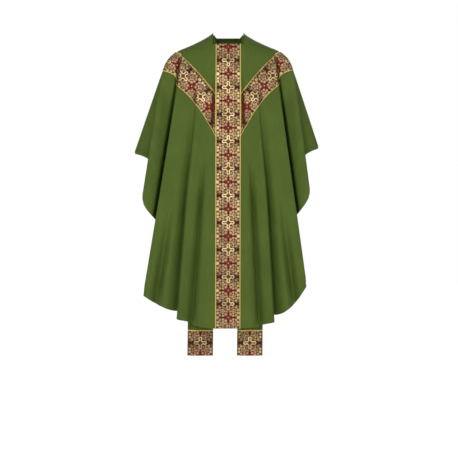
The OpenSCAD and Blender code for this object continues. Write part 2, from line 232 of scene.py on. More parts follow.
    def folds(self, face: Face, side: Side, lane: np.ndarray, z: np.ndarray) -> np.ndarray:
        """Depth of the folds: steep towards the centre, gentle towards the side.

        Args:
            face: front or back, whose small waves differ.
            side: left or right, whose folds lie in slightly different lanes.
            lane: the lane of each point.
            z: the height of each point.

        Returns:
            How far each point lies inside the plain surface.
        """
        depth = np.zeros(np.broadcast(lane, z).shape)
        sizes = (self.fold_depths, self.fold_inner, self.fold_outer, self.fold_starts, self.fold_ramps)
        for middle, most, inner, outer, begin, ramp in zip(self.fold_lanes(side, z), *sizes):
            reach = np.where(lane < middle, inner, outer)
            grown = self.fade(z, begin, ramp)
            depth = depth + most * grown * np.exp(-(((lane - middle) / reach) ** 2))
        turn = (0.0 if face is Face.FRONT else 1.9) + (0.0 if side is Side.LEFT else 0.9)
        wave = np.sin(19 * lane + 2.2 * self.fall(z) + turn) + 0.6 * np.sin(33 * lane + 1.1 + turn)
        ease = smooth(lane / 0.2) * (1 - smooth((lane - 0.88) / 0.12))
        return depth + self.sag(lane, z) + 1.2 * MM * wave * ease * self.fade(z)

    def lap_shift(self, side: Side, lane: np.ndarray, z: np.ndarray) -> np.ndarray:
        """How far the cloth just inside each fold is carried out over it."""
        shift = np.zeros(np.broadcast(lane, z).shape)
        for middle, most in zip(self.fold_lanes(side, z), self.laps):
            shift = shift + most * self.fade(z) * np.exp(-(((lane - middle + 0.045) / 0.045) ** 2))
        return shift

    def plain_depth(self, face: Face, x: np.ndarray, drop: np.ndarray) -> np.ndarray:
        """Depth of the cloth from the shoulder seam, before the folds."""
        most = self.front_depth if face is Face.FRONT else self.back_depth
        d = np.maximum(drop, 0)
        share = 1 - 0.25 * (x / (self.corner_out * 1.03)) ** 2
        return most * np.sqrt(d / (d + self.shoulder_round)) * share + (
            self.hem_flare * (d / self.length) ** 2
        )

    def body_depth(self, face: Face, side: Side, x: np.ndarray, z: np.ndarray) -> np.ndarray:
        """Distance of the cloth from the plane of the shoulder seams."""
        return self.plain_depth(face, x, self.seam_z(x) - z) - self.folds(
            face, side, self.lane_of(x, z), z
        )

    def body(self, face: Face, side: Side, x: np.ndarray, z: np.ndarray) -> np.ndarray:
        """Points of the front or back cloth at distances from the centre and heights."""
        lane = self.lane_of(x, z)
        y = face.value * np.maximum(self.body_depth(face, side, x, z), 0)
        return self.place(side, x + self.lap_shift(side, lane, z), y, z)

    def both_sides(self, face: Face, x: np.ndarray, z: np.ndarray) -> np.ndarray:
        """Points of one face at distances either side of the centre, negative on the left."""
        left = self.body(face, Side.LEFT, np.abs(x), z)
        right = self.body(face, Side.RIGHT, np.abs(x), z)
        return np.where((x < 0)[..., None], left, right)

    def hem_z(self, side: Side, lane: np.ndarray) -> np.ndarray:
        """Height of the hem along the lanes, with the laps of the two deepest folds."""
        share = np.clip(lane, 0, 1)
        rise = self.length - self.corner_drop
        tilt = side.value * self.hem_tilt * np.sin(np.pi * share**1.5)
        z = -self.length + rise * share**self.hem_power - tilt
        small, large, _ = self.fold_lanes(side, np.array(-self.length))
        steps = ((large - 0.005, self.hem_step, 0.15), (small - 0.01, self.hem_step / 4, 0.08))
        for middle, height, reach in steps:
            past = np.maximum(lane - middle, 0)
            z = z + height * smooth((lane - middle) / 0.012) * np.exp(-past / reach)
        return z

    # ---- the side cloth that falls over the arms

    @property
    def ribs(self) -> dict[str, list[float]]:
        """Ribs across the side cloth: 0 the folded side edge, 4 the arm line, laps between."""
        corner, tip, size = self.corner_out, self.tip_out, self.length
        lowest = -float(self.hem_z(Side.LEFT, np.array(1.0)))
        return {
            "out": [corner, corner - 0.060, tip - 0.039, tip - 0.071, tip],
            "drop": [lowest, 0.669 * size, 0.564 * size, 0.44 * size, 0.402 * size],
            "share": [1.0, 0.70, 0.84, 0.36, 0.0],
            "swell": [0.0, 0.025, 0.080, 0.060, 0.060],
        }

    def rib_value(self, name: str, u: np.ndarray) -> np.ndarray:
        """Smooth value of one rib property between the ribs.

        Args:
            name: which property of the ribs.
            u: rib numbers from 0 to 4.

        Returns:
            The property at each rib number.
        """
        v = self.ribs[name]
        before = {"out": v[1], "drop": 2 * v[0] - v[1], "share": 1.45, "swell": 0.0}[name]
        after = -v[3] if name == "share" else v[3]
        padded = np.array([before, *v, after])
        k = np.minimum(np.floor(u).astype(int), 3)
        a, b, c, d = (padded[k + i] for i in range(4))
        s = u - k
        return 0.5 * (
            2 * b + (c - a) * s + (2 * a - 5 * b + 4 * c - d) * s**2 + (3 * b - a - 3 * c + d) * s**3
        )

    def rib_length(self, u: np.ndarray) -> np.ndarray:
        """Length of a rib from the shoulder end to the hem."""
        return np.hypot(
            self.rib_value("out", u) - self.shoulder_out,
            self.rib_value("drop", u) - self.shoulder_fall,
        )

    def wing(self, face: Face, side: Side, u: np.ndarray, t: np.ndarray) -> np.ndarray:
        """Points of the side cloth.

        Args:
            face: front or back half.
            side: left or right.
            u: rib number, 0 at the folded side edge and 4 at the arm line.
            t: share of the way from the shoulder end to the hem.

        Returns:
            The points, with a last axis of three.
        """
        swell = np.maximum(self.rib_value("swell", u), 0) * (1 - t) * (1 - np.exp(-t / 0.06))
        curl = self.hem_curl * np.clip(1 - (1 - t) * self.rib_length(u) / self.curl_reach, 0, 1) ** 2
        x = mix(self.shoulder_out, self.rib_value("out", u), t) + swell - curl
        z = -mix(self.shoulder_fall, self.rib_value("drop", u), t)
        reach = t * self.rib_length(u)
        edge_z = -self.shoulder_fall - reach * (self.corner_drop - self.shoulder_fall) / float(
            self.rib_length(np.array(0.0))
        )
        depth = self.body_depth(face, side, self.lane_x(1.0, edge_z), edge_z)
        share = mix(np.cos(np.radians(22.5 * u)), self.rib_value("share", u), smooth(t / 0.4))
        beyond = np.maximum(x - self.lane_x(1.0, np.minimum(z, -self.shoulder_fall)), 0)
        crevice = np.exp(-((beyond / self.crevice_reach) ** 2)) * smooth(u / 0.6) * smooth(t / 0.08)
        share = np.maximum(share - self.crevice_depth * crevice * (1 - smooth((u - 2) / 1.5)), 0)
        ripple = np.sin(7.5 * u + 3.0 * t + (0 if face is Face.FRONT else 2.0)) * np.sin(np.pi * u / 4)
        bulge = self.tip_bulge * np.sin(np.pi * np.clip(u - 3, 0, 1)) * smooth(t / 0.4)
        y = np.maximum(depth * share + bulge + 2.5 * MM * ripple * smooth(t / 0.5), 0)
        y = np.where(u > 3.9999, 0.0, y)
        return self.place(side, x, face.value * y, z)

    def side_edge_normal(self, side: Side) -> np.ndarray:
        """Direction square to the folded side edge, pointing out over the arm."""
        a = self.wing(Face.FRONT, side, np.array(0.0), np.array(0.02))
        b = self.wing(Face.FRONT, side, np.array(0.0), np.array(1.0))
        run = (b - a)[[0, 2]]
        normal = np.array([-run[1], 0.0, run[0]])
        normal = normal / np.linalg.norm(normal)
        return normal if normal[0] * side.value > 0 else -normal


# ---------------------------------------------------------------- meshes


@dataclass
class Layer:
    """A grid of points on the drape, made into a closed or open-backed piece of cloth."""

    name: str
    points: np.ndarray
    outward: int
    over: np.ndarray | float = 0.5 * MM
    under: np.ndarray | float = -0.5 * MM
    mask: np.ndarray | None = None
    backed: bool = True
    paint: np.ndarray | None = None
    uv: np.ndarray | None = None
    materials: tuple = ()
    level: tuple = ()

    def normals(self) -> np.ndarray:
        """Outward directions of the grid, mended where rows run together.

        Each entry of level names a row or column that meets a mirrored piece, and the axis
        along which its directions have no share, so that the two pieces meet edge to edge.
        """
        along = np.gradient(self.points, axis=0)
        across = np.gradient(self.points, axis=1)
        n = np.cross(along, across) * self.outward
        size = np.linalg.norm(n, axis=-1, keepdims=True)
        n = n / np.maximum(size, 1e-12)
        weak = size[..., 0] < 1e-9
        for r in range(n.shape[0] - 2, -1, -1):
            n[r][weak[r]] = n[r + 1][weak[r]]
        for cells, axis in self.level:
            n[cells][..., axis] = 0.0
            n[cells] /= np.maximum(np.linalg.norm(n[cells], axis=-1, keepdims=True), 1e-9)
        return n

    def flat_uv(self) -> np.ndarray:
        """Distances along the cloth in metres, across and down, for the weave."""
        if self.uv is not None:
            return self.uv
        across = np.linalg.norm(np.diff(self.points, axis=1), axis=-1)
        down = np.linalg.norm(np.diff(self.points, axis=0), axis=-1)
        u = np.concatenate([np.zeros((self.points.shape[0], 1)), np.cumsum(across, axis=1)], axis=1)
        v = np.concatenate([np.zeros((1, self.points.shape[1])), np.cumsum(down, axis=0)], axis=0)
        return np.stack([u, v], axis=-1)

    def quads(self) -> tuple[np.ndarray, np.ndarray]:
        """Faces of the outer side, the inner side and the rim.

        Returns:
            The quads as vertex numbers, and the material number of each.
        """
        rows, cols = self.points.shape[:2]
        layer = rows * cols
        at = np.arange(layer).reshape(rows, cols)
        cell = np.ones((rows - 1, cols - 1), bool) if self.mask is None else self.mask
        a, b = at[:-1, :-1], at[:-1, 1:]
        d, e = at[1:, :-1], at[1:, 1:]
        outer = np.stack([a, d, e, b], axis=-1)[cell]
        parts, numbers = [outer], [np.zeros(len(outer), int)]
        if self.backed:
            inner = np.stack([a, b, e, d], axis=-1)[cell] + layer
            parts.append(inner)
            numbers.append(np.ones(len(inner), int))
        wide = np.zeros((rows + 1, cols + 1), bool)
        wide[1:-1, 1:-1] = cell
        rims = (
            (~wide[:-2, 1:-1] & cell, a, b),
            (~wide[2:, 1:-1] & cell, e, d),
            (~wide[1:-1, :-2] & cell, d, a),
            (~wide[1:-1, 2:] & cell, b, e),
        )
        for edge, p, q in rims:
            rim = np.stack([p, q, q + layer, p + layer], axis=-1)[edge]
            parts.append(rim)
            numbers.append(np.zeros(len(rim), int))
        quads = np.concatenate(parts)
        return (quads if self.outward > 0 else quads[:, ::-1]), np.concatenate(numbers)

    def build(self) -> bpy.types.Object:
        """Makes the mesh object, with its flat lengths, thread paint and materials.

        Returns:
            The new object, linked to the scene.
        """
        n = self.normals()
        over, under = (np.asarray(v, float) for v in (self.over, self.under))
        over, under = (np.broadcast_to(v, self.points.shape[:2])[..., None] for v in (over, under))
        vertices = np.concatenate([(self.points + n * lift).reshape(-1, 3) for lift in (over, under)])
        faces, numbers = self.quads()
        used, faces = np.unique(faces, return_inverse=True)
        faces = faces.reshape(-1, 4)
        mesh = bpy.data.meshes.new(self.name)
        mesh.vertices.add(len(used))
        mesh.vertices.foreach_set("co", vertices[used].ravel())
        mesh.loops.add(faces.size)
        mesh.loops.foreach_set("vertex_index", faces.ravel().astype(np.int32))
        mesh.polygons.add(len(faces))
        mesh.polygons.foreach_set("loop_start", np.arange(0, faces.size, 4, dtype=np.int32))
        mesh.polygons.foreach_set("material_index", numbers.astype(np.int32))
        flat = np.tile(self.flat_uv().reshape(-1, 2), (2, 1))[used]
        layer = mesh.uv_layers.new(name="cut")
        layer.data.foreach_set("uv", flat[faces.ravel()].astype(np.float32).ravel())
        if self.paint is not None:
            threads = mesh.attributes.new("threads", "FLOAT_COLOR", "POINT")
            threads.data.foreach_set(
                "color", np.tile(self.paint.reshape(-1, 4), (2, 1))[used].astype(np.float32).ravel()
            )
        mesh.update(calc_edges=True)
        mesh.validate()
        mesh.polygons.foreach_set("use_smooth", np.ones(len(mesh.polygons), bool))
        mesh.set_sharp_from_angle(angle=math.radians(62))
        for material in self.materials:
            mesh.materials.append(material)
        piece = bpy.data.objects.new(self.name, mesh)
        bpy.context.scene.collection.objects.link(piece)
        return piece


# ---------------------------------------------------------------- finishes


def linear(hex_colour: str) -> tuple[float, float, float, float]:
    """Turns an sRGB hex colour into the linear one that shaders use."""
    channels = [int(hex_colour[i : i + 2], 16) / 255 for i in (1, 3, 5)]
    values = [c / 12.92 if c <= 0.04045 else ((c + 0.055) / 1.055) ** 2.4 for c in channels]
    return (*values, 1.0)


def add(
    tree: bpy.types.NodeTree, kind: str, feeds: dict | None = None, **settings: object
) -> bpy.types.Node:
    """Adds one node with its settings and links.

    Args:
        tree: the node tree of a material.
        kind: the node's type name.
        feeds: input name or number to a value, or to the output socket that feeds it.
        **settings: the node's own properties.

    Returns:
        The new node.
    """
    node = tree.nodes.new(kind)
    for name, value in settings.items():
        setattr(node, name, value)
    for key, value in (feeds or {}).items():
        if isinstance(value, bpy.types.NodeSocket):
            tree.links.new(value, node.inputs[key])
        else:
            node.inputs[key].default_value = value
    return node


def calc(tree: bpy.types.NodeTree, operation: str, *terms: object) -> bpy.types.NodeSocket:
    """Adds a math node on one to three terms and gives its result."""
    return add(tree, "ShaderNodeMath", dict(enumerate(terms)), operation=operation).outputs[0]


def tint(tree: bpy.types.NodeTree, share: object, low: object, high: object) -> bpy.types.NodeSocket:
    """Mixes two colours, from low to high, and gives the mixed one."""
    return add(tree, "ShaderNodeMix", {"Factor": share, 6: low, 7: high}, data_type="RGBA").outputs[2]


def noise(tree: bpy.types.NodeTree, where: object, scale: float, detail: float) -> bpy.types.NodeSocket:
    """Adds a cloudy pattern and gives its strength."""
    feeds = {"Vector": where, "Scale": scale, "Detail": detail}
    return add(tree, "ShaderNodeTexNoise", feeds).outputs[0]


def spread(tree: bpy.types.NodeTree, value: object, source: tuple, target: tuple) -> bpy.types.NodeSocket:
    """Carries a value from one range to another, held at the ends."""
    feeds = {"Value": value, "From Min": source[0], "From Max": source[1]}
    feeds.update({"To Min": target[0], "To Max": target[1]})
    return add(tree, "ShaderNodeMapRange", feeds).outputs[0]


def emboss(tree: bpy.types.NodeTree, height: object, strength: float, depth: float) -> bpy.types.NodeSocket:
    """Turns a height into a bumped direction."""
    feeds = {"Height": height, "Strength": strength, "Distance": depth}
    return add(tree, "ShaderNodeBump", feeds).outputs[0]


def thread_waves(tree: bpy.types.NodeTree, cut: object, across: float, down: float) -> list:
    """Gives the waves of the threads across and down the cloth, in radians per metre."""
    scaled = add(tree, "ShaderNodeVectorMath", {0: cut, 1: (across, down, 0)}, operation="MULTIPLY")
    axes = add(tree, "ShaderNodeSeparateXYZ", {0: scaled.outputs[0]}).outputs
    return [calc(tree, "SINE", axes[axis]) for axis in "XY"]


def coat(tree: bpy.types.NodeTree, look: dict) -> None:
    """Ends a material with its surface shader and output."""
    shader = add(tree, "ShaderNodeBsdfPrincipled", look)
    add(tree, "ShaderNodeOutputMaterial", {"Surface": shader.outputs[0]})


def start(name: str) -> tuple[bpy.types.Material, bpy.types.NodeTree]:
    """Makes an empty node material and its output.

    Returns:
        The material and its node tree.
    """
    material = bpy.data.materials.new(name)
    material.use_nodes = True
    material.node_tree.nodes.clear()
    return material, material.node_tree


@dataclass(frozen=True)
class WovenCloth:
    """Plain-woven wool-blend cloth, piece dyed: dull, faintly hairy, with slight thread streaks.

    The real thread spacing is about 0.5 mm; it is drawn at 1.6 mm so that it shows at all.
    """

    name: str = "wool_blend_plain_weave"
    light: str = "#43541A"
    dark: str = "#3A4915"
    thread: float = 1.6 * MM
    roughness: float = 0.82
    sheen: float = 0.22
    bump: float = 0.25

    def material(self) -> bpy.types.Material:
        """Builds the node material of the cloth."""
        material, tree = start(self.name)
        cut = add(tree, "ShaderNodeUVMap", uv_map="cut").outputs["UV"]
        turns = 2 * math.pi / self.thread
        warp, weft = thread_waves(tree, cut, turns, turns)
        weave = calc(tree, "MULTIPLY", warp, weft)
        streaks = add(tree, "ShaderNodeMapping", {"Vector": cut, "Scale": (260, 14, 1)})
        slubs = noise(tree, streaks.outputs[0], 1.0, 3.0)
        cloud = noise(tree, cut, 6.0, 4.0)
        fuzz = noise(tree, cut, 900.0, 2.0)
        share = spread(tree, calc(tree, "ADD", slubs, cloud), (0.75, 1.25), (0.0, 1.0))
        look = {
            "Base Color": tint(tree, share, linear(self.dark), linear(self.light)),
            "Roughness": self.roughness,
            "Sheen Weight": self.sheen,
            "Sheen Roughness": 0.45,
            "Sheen Tint": linear(self.light),
            "IOR": 1.45,
            "Specular IOR Level": 0.25,
            "Normal": emboss(tree, calc(tree, "ADD", weave, fuzz), self.bump, 0.3 * MM),
        }
        coat(tree, look)
        return material


@dataclass(frozen=True)
class Brocade:
    """Jacquard brocade: crimson and brown satin ground with raised gold, cream and rose threads.

    The threads are metal foil wound on silk, so the figures glint while the ground stays soft.
    """

    name: str = "crimson_gold_brocade"
    crimson: str = "#560B07"
    ground: str = "#381409"
    gold: str = "#785A2C"
    cream: str = "#E6CF9E"
    rose: str = "#8C5142"
    # Darker ground colour that the cloudy patches of wear and painted sheen bring in.
    shade: str = "#2C0E05"
    thread: float = 1.1 * MM

    def material(self) -> bpy.types.Material:
        """Builds the node material of the brocade from its thread paint."""
        material, tree = start(self.name)
        cut = add(tree, "ShaderNodeUVMap", uv_map="cut").outputs["UV"]
        paint = add(tree, "ShaderNodeAttribute", attribute_name="threads")
        masks = add(tree, "ShaderNodeSeparateColor", {0: paint.outputs["Color"]}).outputs
        speck = noise(tree, cut, 620.0, 2.0)
        # Cloudy patches, partly wear and partly painted sheen: they darken the ground towards the shade
        # colour and thin the foil threads.
        wear_and_sheen_patches = noise(tree, cut, 20.0, 2.0)
        colour = tint(tree, wear_and_sheen_patches, linear(self.ground), linear(self.shade))
        colour = tint(tree, paint.outputs["Alpha"], colour, linear(self.crimson))
        painted_light_and_wear = spread(tree, wear_and_sheen_patches, (0.36, 0.56), (0.5, 1.0))
        for mask, thread in (("Red", self.gold), ("Blue", self.rose), ("Green", self.cream)):
            share = calc(tree, "MULTIPLY", masks[mask], painted_light_and_wear)
            colour = tint(tree, share, colour, linear(thread))
        tones = spread(tree, speck, (0.3, 0.7), (0.72, 1.25))
        toned = add(tree, "ShaderNodeVectorMath", {0: colour, "Scale": tones}, operation="SCALE")
        metal = calc(tree, "MAXIMUM", masks["Red"], masks["Green"])
        turns = 2 * math.pi / self.thread
        ribs, rows = thread_waves(tree, cut, turns, turns * 0.6)
        height = calc(tree, "MULTIPLY_ADD", calc(tree, "ADD", ribs, rows), 0.25, speck)
        look = {
            "Base Color": toned.outputs[0],
            "Metallic": calc(tree, "MULTIPLY", metal, 0.6),
            "Roughness": spread(tree, metal, (0.0, 1.0), (0.62, 0.42)),
            "Specular IOR Level": 0.12,
            "Normal": emboss(tree, height, 0.35, 0.4 * MM),
        }
        coat(tree, look)
        return material


@dataclass(frozen=True)
class Braid:
    """Narrow flat braid plaited from yellow metal thread, with painted highlights on its ridges and painted
    shade in the gaps.
    """

    name: str = "gold_plaited_braid"
    light: str = "#C9B45C"
    dark: str = "#86702A"
    plait: float = 4.0 * MM

    def material(self) -> bpy.types.Material:
        """Builds the node material of the braid."""
        material, tree = start(self.name)
        cut = add(tree, "ShaderNodeUVMap", uv_map="cut").outputs["UV"]
        axes = add(tree, "ShaderNodeSeparateXYZ", {0: cut}).outputs
        slant = calc(tree, "ADD", axes["X"], axes["Y"])
        # The plait ridges are painted light and the gaps painted dark, with noise on top; the same height
        # bumps the surface.
        ridges = calc(tree, "SINE", calc(tree, "MULTIPLY", slant, 2 * math.pi / self.plait))
        painted_light_and_wear = calc(tree, "MULTIPLY_ADD", ridges, 0.3, noise(tree, cut, 300.0, 3.0))
        tone = spread(tree, painted_light_and_wear, (0.2, 0.8), (0.0, 1.0))
        look = {
            "Base Color": tint(tree, tone, linear(self.dark), linear(self.light)),
            "Metallic": 0.35,
            "Roughness": 0.45,
            "Normal": emboss(tree, painted_light_and_wear, 0.5, 0.5 * MM),
        }
        coat(tree, look)
        return material


@dataclass(frozen=True)
class Tape:
    """Unbleached linen stay tape, plain woven and unglazed: pale, dull and slightly flecked."""

    name: str = "linen_tape"
    light: str = "#D8CFB6"
    dark: str = "#B9AE92"

    def material(self) -> bpy.types.Material:
        """Builds the node material of the tape."""
        material, tree = start(self.name)
        cut = add(tree, "ShaderNodeUVMap", uv_map="cut").outputs["UV"]
        wave = {"Vector": cut, "Scale": 180.0, "Distortion": 1.5, "Detail": 2.0}
        threads = add(tree, "ShaderNodeTexWave", wave).outputs[1]
        look = {
            "Base Color": tint(tree, threads, linear(self.dark), linear(self.light)),
            "Roughness": 0.85,
            "Normal": emboss(tree, threads, 0.3, 0.3 * MM),
        }
        coat(tree, look)
        return material


@dataclass(frozen=True)
class Finishes:
    """The finishes of the garment, made once."""

    cloth: bpy.types.Material = field(default_factory=lambda: WovenCloth().material())
    lining: bpy.types.Material = field(
        default_factory=lambda: WovenCloth(
            name="green_lining_satin", light="#3C4F1E", dark="#314118", roughness=0.6, bump=0.12
        ).material()
    )
    brocade: bpy.types.Material = field(default_factory=lambda: Brocade().material())
    braid: bpy.types.Material = field(default_factory=lambda: Braid().material())
    tape: bpy.types.Material = field(default_factory=lambda: Tape().material())


# ---------------------------------------------------------------- the brocade figure


@dataclass(frozen=True)
class Figure:
    """The woven figure: lobed crosses along the band, with rosettes of petals between them."""

    repeat: float = 119 * MM
    half_width: float = 54 * MM
    edge: float = 0.9

    def inside(self, distance: np.ndarray) -> np.ndarray:
        """Share of a shape at signed distances from its edge, in millimetres."""
        return smooth(0.5 - distance / (2 * self.edge))

    def dots(self, radius: np.ndarray, turn: np.ndarray, pitch: float, size: float) -> np.ndarray:
        """Rings of small dots about a centre, an even pitch apart.

        Args:
            radius: distance from the centre, in millimetres.
            turn: angle about the centre.
            pitch: spacing of the dots, in millimetres.
            size: radius of a dot, in millimetres.

        Returns:
            Share of dot at each point.
        """
        ring = np.floor(radius / pitch)
        count = np.maximum(np.round(2 * np.pi * (ring + 0.5)), 1)
        place = turn / (2 * np.pi) * count + 0.5 * ring
        aside = (place - np.round(place)) * pitch
        weight = 0.72 + 0.28 * np.sin(12.9 * ring + 7.3 * np.round(place))
        return weight * self.inside(np.hypot(radius - (ring + 0.5) * pitch, aside) - size)

    def petals(self, radius: np.ndarray, turn: np.ndarray, reach: tuple, count: int) -> np.ndarray:
        """A ring of oval petals about a centre, some of them paler than others.

        Args:
            radius: distance from the centre, in millimetres.
            turn: angle about the centre.
            reach: radii of the petals' inner and outer ends, in millimetres.
            count: number of petals.

        Returns:
            Share of petal at each point.
        """
        place = turn / (2 * np.pi) * count + 0.25 * count
        middle, half = sum(reach) / 2, (reach[1] - reach[0]) / 2
        wide = 0.40 * 2 * np.pi * middle / count
        aside = (place - np.round(place)) * 2 * np.pi * radius / count
        size = np.hypot((radius - middle) / half, aside / wide)
        tone = 0.78 + 0.22 * np.sin(12.9 * count + 7.3 * np.round(place))
        return tone * self.inside((size - 1) * min(wide, half))

    def paint(self, along: np.ndarray, across: np.ndarray) -> np.ndarray:
        """Works out the threads on top at each point of a band.

        Args:
            along: distance along the band from a cross, in metres.
            across: distance from the middle of the band, in metres.

        Returns:
            Shares of gold, cream, rose and crimson thread, as a last axis of four.
        """
        cell = self.repeat / MM
        s = np.mod(along / MM + cell / 2, cell) - cell / 2
        v = across / MM * (54.0 / (self.half_width / MM))
        a, b = np.abs(s), np.abs(v)
        node = cell / 2 - a
        # four rosettes of petals around each node, rose near it and gold outside
        da, db = node - 27.0, b - 26.0
        r, turn = np.hypot(da, db), np.arctan2(db, da)
        rosette = self.inside(r - 25.5 - 1.5 * np.cos(9 * turn))
        scroll = np.maximum(
            np.maximum(self.petals(r, turn, (5.0, 13.0), 5), self.petals(r, turn, (14.5, 26.0), 9)),
            self.inside(r - 2.6),
        )
        near = np.exp(-((np.hypot(node, b) / 29.0) ** 2))
        gold = rosette * (0.06 + 0.94 * scroll) * (1 - 0.6 * near)
        rose = rosette * (0.08 + 0.92 * scroll) * near
        cream = rosette * scroll * (0.52 - 0.24 * near)
        # leaves of gold dots fill the ground between the rosettes and the edge
        leaf = self.dots(np.hypot(a, b), np.arctan2(b, a), 8.8, 3.1)
        gold = np.maximum(gold, (1 - rosette) * (0.06 + 0.88 * leaf))
        cream = np.maximum(cream, (1 - rosette) * 0.36 * leaf)
        # maroon bars and stems that cross at the node, and the bow at the edge of each cross
        bar = self.inside(np.maximum(node - 4.6 + 0.03 * b, b - 40.0))
        stem = self.inside(np.maximum(b - 4.2 + 0.05 * node, node - 31.0))
        bow = self.inside(np.maximum(a - 3.6 - 0.5 * np.abs(b - 39.5), np.abs(b - 39.5) - 11.5))
        # a thin broken outline of the ground colour round the rosettes
        rim = self.inside(np.abs(r - 25.5) - 0.9) * smooth(0.55 + 0.8 * np.cos(26 * turn))
        # the lobed cross with its concave corners, and the star left open in its middle
        long_arm, short_arm = np.maximum(a, b), np.minimum(a, b)
        lobe = np.hypot(long_arm - 19.0, short_arm) - 8.2
        shaft = np.maximum(short_arm - 6.2, long_arm - 19.0)
        heart = np.hypot(long_arm, short_arm) - 12.5
        cross_edge = np.minimum(np.minimum(lobe, shaft), heart)
        outline = self.inside(cross_edge - 3.2)
        cross = self.inside(cross_edge)
        star = self.inside((a**0.62 + b**0.62) ** (1 / 0.62) - 13.5)
        blob = self.inside(np.hypot(node / 1.2, b - 45.5) - 6.6)
        round_blob = self.inside(np.abs(np.hypot(node / 1.2, b - 45.5) - 8.6) - 1.1)
        seed = self.inside(np.hypot(node, b) - 2.4)
        bare = (1 - bar) * (1 - stem) * (1 - bow) * (1 - rim) * (1 - outline) * (1 - round_blob)
        gold, rose, cream = gold * bare, rose * bare, cream * bare
        body = self.inside(np.abs(cross_edge + 1.9) - 1.9)
        gold = np.maximum(np.maximum(gold, cross), np.maximum(blob, seed * 0.4))
        cream = np.maximum(cream, np.maximum(0.9 * body, np.maximum(0.55 * blob, 0.8 * seed)))
        gold = gold * (1 - 0.30 * cross * (1 - body)) * (1 - 0.6 * cross * star)
        crimson = np.exp(-((np.hypot(node, b) / 30.0) ** 2))
        return np.clip(np.stack([gold, cream, rose, crimson], axis=-1), 0, 1)


# ---------------------------------------------------------------- sub-assemblies


@dataclass
class Garment:
    """Shared tools of the sub-assemblies: the drape, the finishes and the table of pieces."""

    drape: Drape
    finishes: Finishes
    pieces: dict[str, bpy.types.Object] = field(default_factory=dict)
    blend_gap: float = 2 * MM
    blend_reach: float = 0.125

    def keep(self, piece: bpy.types.Object, slot: str, *nodes: str) -> bpy.types.Object:
        """Records a piece, hides the nodes that it replaces and logs them."""
        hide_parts(*nodes)
        self.pieces[piece.name] = piece
        LOG.info("%s: %d faces, for %s", piece.name, len(piece.data.polygons), ", ".join(nodes))
        return piece

    def over_arm(self, piece: bpy.types.Object, side: Side) -> None:
        """Works out a point beside the folded side edge, which nothing uses, and applies the piece's
        transform to its mesh.
        """
        normal = self.drape.side_edge_normal(side)
        foot = self.drape.wing(Face.FRONT, side, np.array(0.0), np.array(0.5)) + normal * self.blend_gap
        foot[1] = 0.0
        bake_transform(piece)


@dataclass
class GreenCloth:
    """The four quarters of green cloth, each from its centre seam to the arm line."""

    garment: Garment
    thickness: float = 1.4 * MM
    hem_width: float = 20 * MM
    inner_columns: int = 12
    body_columns: int = 120
    wing_columns: int = 120
    top_rows: int = 22
    skirt_rows: int = 120
    flat_width: float = 0.72
    flat_area: float = 0.70

    def row_shares(self) -> tuple[np.ndarray, np.ndarray]:
        """Row positions: shares of the neck drop, then shares of the way from there to the hem."""
        top = (np.arange(self.top_rows) / self.top_rows) ** 2
        skirt = np.linspace(0, 1, self.skirt_rows)
        return top, skirt

    def quarter(self, face: Face, side: Side) -> bpy.types.Object:
        """Builds one quarter of the cloth.

        Returns:
            The piece, with its transform applied to its mesh.
        """
        drape = self.garment.drape
        top, skirt = self.row_shares()
        centre = np.linspace(0, drape.column_half, 8)[:-1]
        inner = np.linspace(0, drape.neck_lane, self.inner_columns + 1)[:-1]
        lane = np.concatenate([inner, np.linspace(drape.neck_lane, 1, self.body_columns)])
        x_top = np.concatenate([centre, drape.seam_x(lane)])
        lanes = np.concatenate([np.zeros(len(centre)), lane])
        start_z = drape.seam_z(x_top)[None, :]
        line = start_z - drape.neck_drop(face)
        hem = drape.hem_z(side, lanes)[None, :]
        z = np.concatenate([start_z - drape.neck_drop(face) * top[:, None], mix(line, hem, skirt[:, None])])
        x = np.where(
            np.arange(len(x_top))[None, :] < len(centre), x_top[None, :], drape.lane_x(lanes[None, :], z)
        )
        body = drape.body(face, side, x, z)
        edge_z = z[:, -1]
        t = (edge_z + drape.shoulder_fall) / (edge_z[-1] + drape.shoulder_fall)
        u = np.linspace(0, 4, self.wing_columns + 1)[1:]
        wing = drape.wing(face, side, u[None, :], t[:, None])
        points = np.concatenate([body, wing], axis=1)
        mask = np.ones((points.shape[0] - 1, points.shape[1] - 1), bool)
        mask[: self.top_rows, : len(centre) + len(inner)] = False
        from_hem = np.linalg.norm(points - points[-1:], axis=-1)
        turned = 0.35 * MM * (from_hem < self.hem_width)
        stitch = 0.45 * MM * np.exp(-(((from_hem - self.hem_width) / (3 * MM)) ** 2))
        from_seam = np.linalg.norm(points - points[:1], axis=-1)
        seam = 0.7 * MM * np.exp(-((from_seam / (2.5 * MM)) ** 2))
        piece = Layer(
            name=f"cloth_{label(face)}_{label(side)}",
            points=points,
            outward=-side.value * face.value,
            over=self.thickness / 2 + turned - stitch - seam,
            under=-self.thickness / 2 - turned,
            mask=mask,
            materials=(self.garment.finishes.cloth, self.garment.finishes.lining),
            level=((np.s_[:, -1], 1), (np.s_[:, 0], 0)),
        ).build()
        self.garment.keep(
            piece,
            "green_cloth",
            f"{label(face)}_panel_{label(side)}",
            f"wing_{label(face)}_{label(side)}",
        )
        self.garment.over_arm(piece, side)
        return piece

    def build(self) -> None:
        """Builds the four quarters."""
        for face in Face:
            for side in Side:
                self.quarter(face, side)


